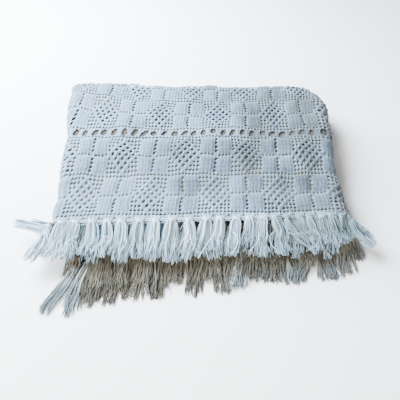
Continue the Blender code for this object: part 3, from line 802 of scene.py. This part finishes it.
def tassel_yarns(row, tassel):
    """Wavy yarns in clumps, as tubes, with the tone of every point."""
    t, q = tassel.t, tassel.q
    yarns, clumps = row["yarns"], row["clumps"]
    spread = (np.arange(clumps) + 0.5) / clumps * 2 - 1
    clump_a = spread * 0.86 + RNG.normal(0, 0.08, clumps)
    clump_b = RNG.uniform(-0.35, 0.75, clumps) * np.sqrt(np.maximum(1 - clump_a ** 2, 0.12))
    clump_length = 1 + RNG.normal(0, 0.05, clumps)
    clump_phase = RNG.uniform(0, 2 * math.pi, (clumps, 2))
    clump_sway = RNG.uniform(0.0006, 0.0030, clumps) * (tassel.slim if tassel.slim > 0.6 else 0.3)
    clump_tone = clump_tones(row, tassel)
    mine = np.arange(yarns) % clumps
    # place in the tassel's section, length and wave of each yarn
    a = clump_a[mine] + RNG.normal(0, 0.085, yarns)
    b = np.clip(clump_b[mine] + RNG.normal(0, 0.28, yarns), -1.0, 1.0)
    lengths = clump_length[mine] + RNG.normal(0, 0.035, yarns) - 0.09 * a ** 2 + 0.03
    lengths = np.clip(lengths, 0.78, 1.10)[:, None]
    sway = (clump_sway[mine] + RNG.uniform(0.0, 0.0007, yarns))[:, None] * smooth((t - 0.12) / 0.5)
    waves = (1.3 + 0.9 * (mine % 3) / 2 + RNG.normal(0, 0.12, yarns))[:, None]
    phase = clump_phase[mine] + RNG.normal(0, 0.35, (yarns, 2))
    angle = 2 * math.pi * waves * t
    curl = smooth((t - 0.80) / 0.20) * RNG.normal(0, 0.0022, yarns)[:, None]
    aside = a[:, None] * tassel.half_w + sway * np.sin(angle + phase[:, :1]) + curl
    above = b[:, None] * tassel.half_h + 0.7 * sway * np.sin(1.2 * angle + phase[:, 1:])
    reach = t * lengths
    centre, side, top = along_tassel(tassel, np.minimum(reach, 1.0))
    last = tassel.line[-1] - tassel.line[-2]
    beyond = (np.maximum(reach - 1.0, 0.0) * q[-1])[..., None] * (last / np.linalg.norm(last))
    paths = centre + side * aside[..., None] + top * above[..., None] + beyond
    if row["name"] == LOW_ROW:
        paths[..., 2] += 0.0030 * (1 - smooth(t))
    paths[..., 2] = np.maximum(paths[..., 2], YARN_RADIUS + FLOOR_CLEARANCE)
    radius = YARN_RADIUS * (1 - 0.30 * smooth((t - 0.9) / 0.1)) * RNG.uniform(0.85, 1.2, yarns)[:, None]
    tone = (clump_tone[mine] + RNG.normal(0, 0.08, yarns))[:, None] + tone_along(row, tassel)
    return *tube(paths, radius, row["sides"]), np.repeat(tone.ravel(), row["sides"])


def tassel_core(tassel):
    """The yarns packed inside the tassel, as one body that closes before the tips."""
    t = tassel.t
    inside = np.minimum(t, CORE_END)
    centre, side, top = along_tassel(tassel, inside)
    angle = np.arange(CORE_SIDES) * 2 * math.pi / CORE_SIDES
    wide = CORE_WIDTH * np.interp(inside, t, tassel.half_w)[:, None] * np.cos(angle)
    high = CORE_HEIGHT * np.interp(inside, t, tassel.half_h)[:, None] * np.sin(angle)
    closing = np.where(t > CORE_END, 0.05, 1.0)[:, None, None]
    ring = centre[:, None] + closing * (side[:, None] * wide[..., None] + top[:, None] * high[..., None])
    ring[..., 2] = np.maximum(ring[..., 2], YARN_RADIUS)
    return ring.reshape(-1, 3), ring_quads(np.arange(ring.shape[0] * CORE_SIDES).reshape(-1, CORE_SIDES))


def tassel_neck(row, tassel, at):
    """A few turns of yarn round the neck of the tassel."""
    centre, side, top = tassel.line[at], tassel.side[at], tassel.top[at]
    ahead = tassel.line[at + 1] - tassel.line[at - 1]
    ahead = ahead / np.linalg.norm(ahead)
    angle = np.linspace(0, 2 * math.pi, 13)[:, None]
    wraps = []
    for w in range(WRAP_COUNT):
        tilt = RNG.normal(0, 0.3)
        offset = (w - (WRAP_COUNT - 1) / 2) * WRAP_PITCH
        wraps.append(centre + ahead * (offset + 0.0012 * tilt * np.sin(angle))
                     + side * (NECK_HALF_WIDTH * np.cos(angle))
                     + top * (NECK_HALF_HEIGHT * row["bulk"] * np.sin(angle)))
    return tube(np.array(wraps), WRAP_RADIUS, TUBE_SIDES)


def tassel_loops(tassel, at):
    """The yarns drawn through the edge lie over its rim."""
    line, side, top = tassel.line, tassel.side[at], tassel.top
    loops = []
    for w in range(LOOP_COUNT):
        offset = (w - (LOOP_COUNT - 1) / 2) * LOOP_PITCH
        over = [line[0] + side * offset * wide - np.array([0, ahead, 0]) + top[0] * high
                for ahead, wide, high in EDGE_LOOP]
        loops.append(np.array(over + [line[at] + side * offset + top[at] * LOOP_END_HEIGHT]))
    return tube(np.array(loops), LOOP_RADIUS, TUBE_SIDES)


def edging(row, first, count):
    """Chain stitches that sag a little between one tassel and the next."""
    share = np.linspace(0.0, 1.0, 8)
    sag = np.sin(math.pi * share)
    strands = []
    for k in range(count - 1):
        rim = np.array([edge_place(row, along)[0] for along in first + TASSEL_PITCH * (k + share)])
        for ahead, down in EDGE_STRANDS:
            strand = rim.copy()
            strand[:, 1] -= ahead + 0.0022 * sag * ahead / 0.005 + 0.0004 * np.sin(5 * math.pi * share)
            strand[:, 2] -= down + 0.0030 * sag * max(down, 0.0) / 0.0022
            strands.append(strand)
    return tube(np.array(strands), EDGE_RADIUS, TUBE_SIDES)


def stray_yarn(row, first, place, turn_from, turn_to, length):
    """A yarn that has worked loose lies curled over the tassels."""
    share = np.linspace(0.0, 1.0, STRAY_POINTS)
    tassel = tassel_line(row, first + TASSEL_PITCH * place, 0.0, 1.0, 0.0)
    start = tassel.line[STRAY_FROM] + tassel.top[STRAY_FROM] * STRAY_RISE
    turn = np.radians(turn_from + (turn_to - turn_from) * share)
    step = length / (STRAY_POINTS - 1)
    x = start[0] - np.cumsum(np.sin(turn)) * step
    y = start[1] - np.cumsum(np.cos(turn)) * step
    z = start[2] - 0.020 * share ** 2 + 0.003 * np.sin(math.pi * share)
    return tube(np.stack([x, y, z], -1)[None], YARN_RADIUS, TUBE_SIDES)


def build_fringe(row):
    begin, end = fringe_span(row["strip"])
    total = abs(end - begin)
    count = int(total / TASSEL_PITCH)
    first = (total - (count - 1) * TASSEL_PITCH) / 2
    bundle = Bundle()
    for k in range({TOP_ROW: len(TOP_TASSELS), LOW_ROW: len(LOW_TASSELS)}.get(row["name"], count)):
        tassel = hang_tassel(row, k, first, total)
        at = int(np.argmin(np.abs(tassel.q - KNOT_AT)))
        bundle.add(*tassel_yarns(row, tassel), tassel.shade)
        bundle.add(*tassel_core(tassel), CORE_TONE, tassel.shade)
        bundle.add(*tassel_neck(row, tassel, at), WRAP_TONE, tassel.shade)
        bundle.add(*tassel_loops(tassel, at), LOOP_TONE, tassel.shade)
    if row["name"] in (TOP_ROW, LOW_ROW):
        bundle.add(*edging(row, first, count), EDGE_TONE, row["shade"])
    if row["name"] == TOP_ROW:
        for stray in STRAY_YARNS:
            bundle.add(*stray_yarn(row, first, *stray), 1.0, row["shade"])
    return bundle.mesh(row["name"] + "_yarns")


# Materials

CLOTH_TINT = (0.198, 0.305, 0.438)
# painted shade: the dark colour mixed in by the 'inner' value, for the cloth within the pile, the swelling
# blocks and the crease
PAINTED_SHADE_TINT = (0.056, 0.049, 0.037)
# painted shade: the neutral colour round the gaps and on their rims
GAP_SHADE_TINT = (0.190, 0.215, 0.208)
YARN_TINT = (0.68, 0.885, 1.00)
YARN_DEEP = (0.25, 0.345, 0.43)
SHADE_TINT = (0.228, 0.211, 0.156)
SHADE_DEEP = (0.064, 0.059, 0.043)
# share of the tint left at the deepest painted shade, strength of its broad slow patches, and change a metre
# to the right
CLOTH_SHADING = dict(shaded=(0.39, 0.345, 0.31), broad=0.9, fade=-0.66)
YARN_SHADING = dict(shaded=(0.24, 0.24, 0.235), broad=1.15, fade=-1.4)
FIBRE_SCALE, FIBRE_DETAIL = 420.0, 4.0
PATCH_SCALE, PATCH_DETAIL = 11.0, 3.0
# bands of the wave texture: one a cell across, one a row up
BAND_SCALE = 0.314


class Cotton:
    """A matt, slightly fuzzy cotton material, built up node by node."""

    def __init__(self, name):
        self.material = bpy.data.materials.new(name)
        self.material.use_nodes = True
        self.nodes = self.material.node_tree.nodes
        self.links = self.material.node_tree.links
        self.shader = self.nodes["Principled BSDF"]
        self.shader.inputs["Roughness"].default_value = 0.92
        self.shader.inputs["Specular IOR Level"].default_value = 0.15
        self.shader.inputs["Sheen Weight"].default_value = 0.12
        self.shader.inputs["Sheen Roughness"].default_value = 0.6
        self.place = self.node("ShaderNodeTexCoord", {}).outputs["Object"]
        self.fibres = self.noise(FIBRE_SCALE, FIBRE_DETAIL)

    def node(self, kind, inputs, **settings):
        """Add a node. Each input is a value, or another node's output to join to it."""
        made = self.nodes.new(kind)
        for key, value in settings.items():
            setattr(made, key, value)
        for key, value in inputs.items():
            if isinstance(value, bpy.types.NodeSocket):
                self.links.new(value, made.inputs[key])
            else:
                made.inputs[key].default_value = value
        return made

    def noise(self, scale, detail):
        inputs = {"Vector": self.place, "Scale": scale, "Detail": detail}
        return self.node("ShaderNodeTexNoise", inputs).outputs["Fac"]

    def times_plus(self, value, factor, plus):
        inputs = {0: value, 1: factor, 2: plus}
        return self.node("ShaderNodeMath", inputs, operation="MULTIPLY_ADD").outputs[0]

    def shaded_tint(self, tint, shaded, broad, fade):
        """The tint, mottled by its fibres, with painted shade in broad patches and greyer towards the
        right-hand side.
        """
        patches = self.noise(PATCH_SCALE, PATCH_DETAIL)
        slow = self.node("ShaderNodeMath", {0: patches, 1: broad}, operation="MULTIPLY")
        patchy = self.times_plus(self.fibres, 0.5, slow.outputs[0])
        apart = self.node("ShaderNodeSeparateXYZ", {0: self.place})
        ramp = self.node("ShaderNodeValToRGB", {"Fac": self.times_plus(apart.outputs["X"], fade, patchy)})
        low, high = ramp.color_ramp.elements
        low.position, high.position = 0.50, 0.80
        low.color = tuple(c * w for c, w in zip(tint, shaded)) + (1,)
        high.color = tint + (1,)
        return ramp.outputs["Color"]

    def blend(self, attribute, low, high):
        """Mix two colours by a value painted on the mesh. A colour is a tint or another node's output."""
        painted = self.node("ShaderNodeAttribute", {}, attribute_name=attribute)
        low, high = (colour + (1,) if isinstance(colour, tuple) else colour for colour in (low, high))
        inputs = {0: painted.outputs["Fac"], 6: low, 7: high}
        return self.node("ShaderNodeMix", inputs, data_type="RGBA").outputs[2]

    def bands(self, uv, direction, **inputs):
        inputs = {key.replace("_", " "): value for key, value in inputs.items()}
        return self.node("ShaderNodeTexWave", {"Vector": uv, "Scale": BAND_SCALE, **inputs},
                         wave_type="BANDS", bands_direction=direction).outputs["Fac"]

    def finish(self, colour, height):
        """Join the colour and the bumps to the shader."""
        self.links.new(colour, self.shader.inputs["Base Color"])
        bump = self.node("ShaderNodeBump", {"Strength": 0.7, "Distance": 0.0011, "Height": height})
        self.links.new(bump.outputs["Normal"], self.shader.inputs["Normal"])
        return self.material


def crochet_cotton(name, tint):
    """Cotton with the ribs and rows of crochet, with painted shade in the furrows between its ribs, dark
    painted shade within the pile and neutral painted shade round its gaps.
    """
    cotton = Cotton(name)
    uv = cotton.node("ShaderNodeUVMap", {}, uv_map="pattern").outputs["UV"]
    ribs = cotton.bands(uv, "X", Distortion=3.5, Detail=2.0, Detail_Scale=2.0)
    rows = cotton.bands(uv, "Y", Distortion=0.6)
    # painted shade: the colour darkens in the furrows between the ribs
    furrow = cotton.node("ShaderNodeMapRange", {"Value": ribs, "To Min": 0.60}).outputs["Result"]
    ribbed = cotton.node("ShaderNodeVectorMath", {0: cotton.shaded_tint(tint, **CLOTH_SHADING), "Scale": furrow},
                         operation="SCALE").outputs["Vector"]
    # painted shade: round the gaps by the 'gap' value, and within the pile, on the blocks and in the crease
    # by the 'inner' value
    colour = cotton.blend("inner", cotton.blend("gap", ribbed, GAP_SHADE_TINT), PAINTED_SHADE_TINT)
    return cotton.finish(colour, cotton.times_plus(cotton.fibres, 0.8, cotton.times_plus(rows, 0.5, ribs)))


def yarn_cotton(name):
    """Cotton of loose yarns, by their tone, and by the shade that their tassel hangs in."""
    cotton = Cotton(name)
    lit = cotton.blend("tone", YARN_DEEP, cotton.shaded_tint(YARN_TINT, **YARN_SHADING))
    # painted shade: a darker, warmer copy of the yarn colour for tassels that hang in shade
    painted_shade = cotton.blend("tone", SHADE_DEEP, SHADE_TINT)
    return cotton.finish(cotton.blend("shade", lit, painted_shade), cotton.fibres)


def put_materials(thing, *materials):
    thing.data.materials.clear()
    for material in materials:
        thing.data.materials.append(material)


cloth_mat = crochet_cotton("cotton_crochet", CLOTH_TINT)
yarn_mat = yarn_cotton("cotton_yarn")
gap_shade_mat = crochet_cotton("cotton_gap_shade", GAP_SHADE_TINT)

outer = build_outer()
layers = build_inner()
put_materials(outer, cloth_mat, gap_shade_mat)
put_materials(layers, cloth_mat)
pieces = []
for row in FRINGE_ROWS:
    piece = build_fringe(row)
    put_materials(piece, yarn_mat)
    pieces.append((piece, row["name"]))

for thing in (outer, layers):
    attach(thing, "root")
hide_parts("spread")
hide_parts("spread")
for piece, node in pieces:
    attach(piece, "root")
    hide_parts(node)

# Stage, light and camera

FLOOR_HALF, FLOOR_Z = 6.0, -0.0005
FLOOR_COLOUR = (0.98, 0.98, 0.98, 1)
SENSOR_WIDTH = 36.0
IMAGE_PX = 400.0
FOCAL_PX = 393.0
PITCH, YAW = math.radians(50.5), math.radians(2.8)
EYE = np.array([0.0285, -0.508, 0.742]) + CENTRE


def pale_floor():
    mesh = bpy.data.meshes.new("floor")
    corners = [(x * FLOOR_HALF, y * FLOOR_HALF, FLOOR_Z) for x, y in ((-1, -1), (1, -1), (1, 1), (-1, 1))]
    mesh.from_pydata(corners, [], [(0, 1, 2, 3)])
    material = bpy.data.materials.new("pale_floor")
    material.use_nodes = True
    shader = material.node_tree.nodes["Principled BSDF"]
    shader.inputs["Base Color"].default_value = FLOOR_COLOUR
    shader.inputs["Roughness"].default_value = 0.9
    mesh.materials.append(material)
    thing = bpy.data.objects.new("floor", mesh)
    bpy.context.scene.collection.objects.link(thing)
    return thing


def studio_world():
    world = bpy.data.worlds.new("studio")
    world.use_nodes = True
    background = world.node_tree.nodes["Background"]
    background.inputs["Color"].default_value = (1.0, 0.97, 0.93, 1)
    background.inputs["Strength"].default_value = 0.44
    bpy.context.scene.world = world


def area_light(name, place, target, size, energy, colour):
    data = bpy.data.lights.new(name, "AREA")
    data.shape, data.size, data.energy, data.color = "SQUARE", size, energy, colour
    lamp = bpy.data.objects.new(name, data)
    bpy.context.scene.collection.objects.link(lamp)
    lamp.location = place
    lamp.rotation_euler = (Vector(target) - Vector(place)).to_track_quat("-Z", "Y").to_euler()


def photo_camera():
    data = bpy.data.cameras.new("camera")
    data.sensor_width = SENSOR_WIDTH
    data.lens = FOCAL_PX * SENSOR_WIDTH / IMAGE_PX
    data.clip_start, data.clip_end = 0.01, 50.0
    camera = bpy.data.objects.new("camera", data)
    bpy.context.scene.collection.objects.link(camera)
    forward = (-math.sin(YAW) * math.cos(PITCH), math.cos(YAW) * math.cos(PITCH), -math.sin(PITCH))
    camera.location = EYE
    camera.rotation_euler = Vector(forward).to_track_quat("-Z", "Y").to_euler()
    bpy.context.scene.camera = camera


floor = pale_floor()
studio_world()
area_light("window", (-1.05, 0.72, 1.15), (0, 0, 0.05), 1.3, 305.0, (0.80, 0.91, 1.0))
area_light("room", (-0.50, -1.50, 0.80), (0.0, -0.25, 0.03), 0.8, 42.0, (1.0, 0.95, 0.88))
photo_camera()
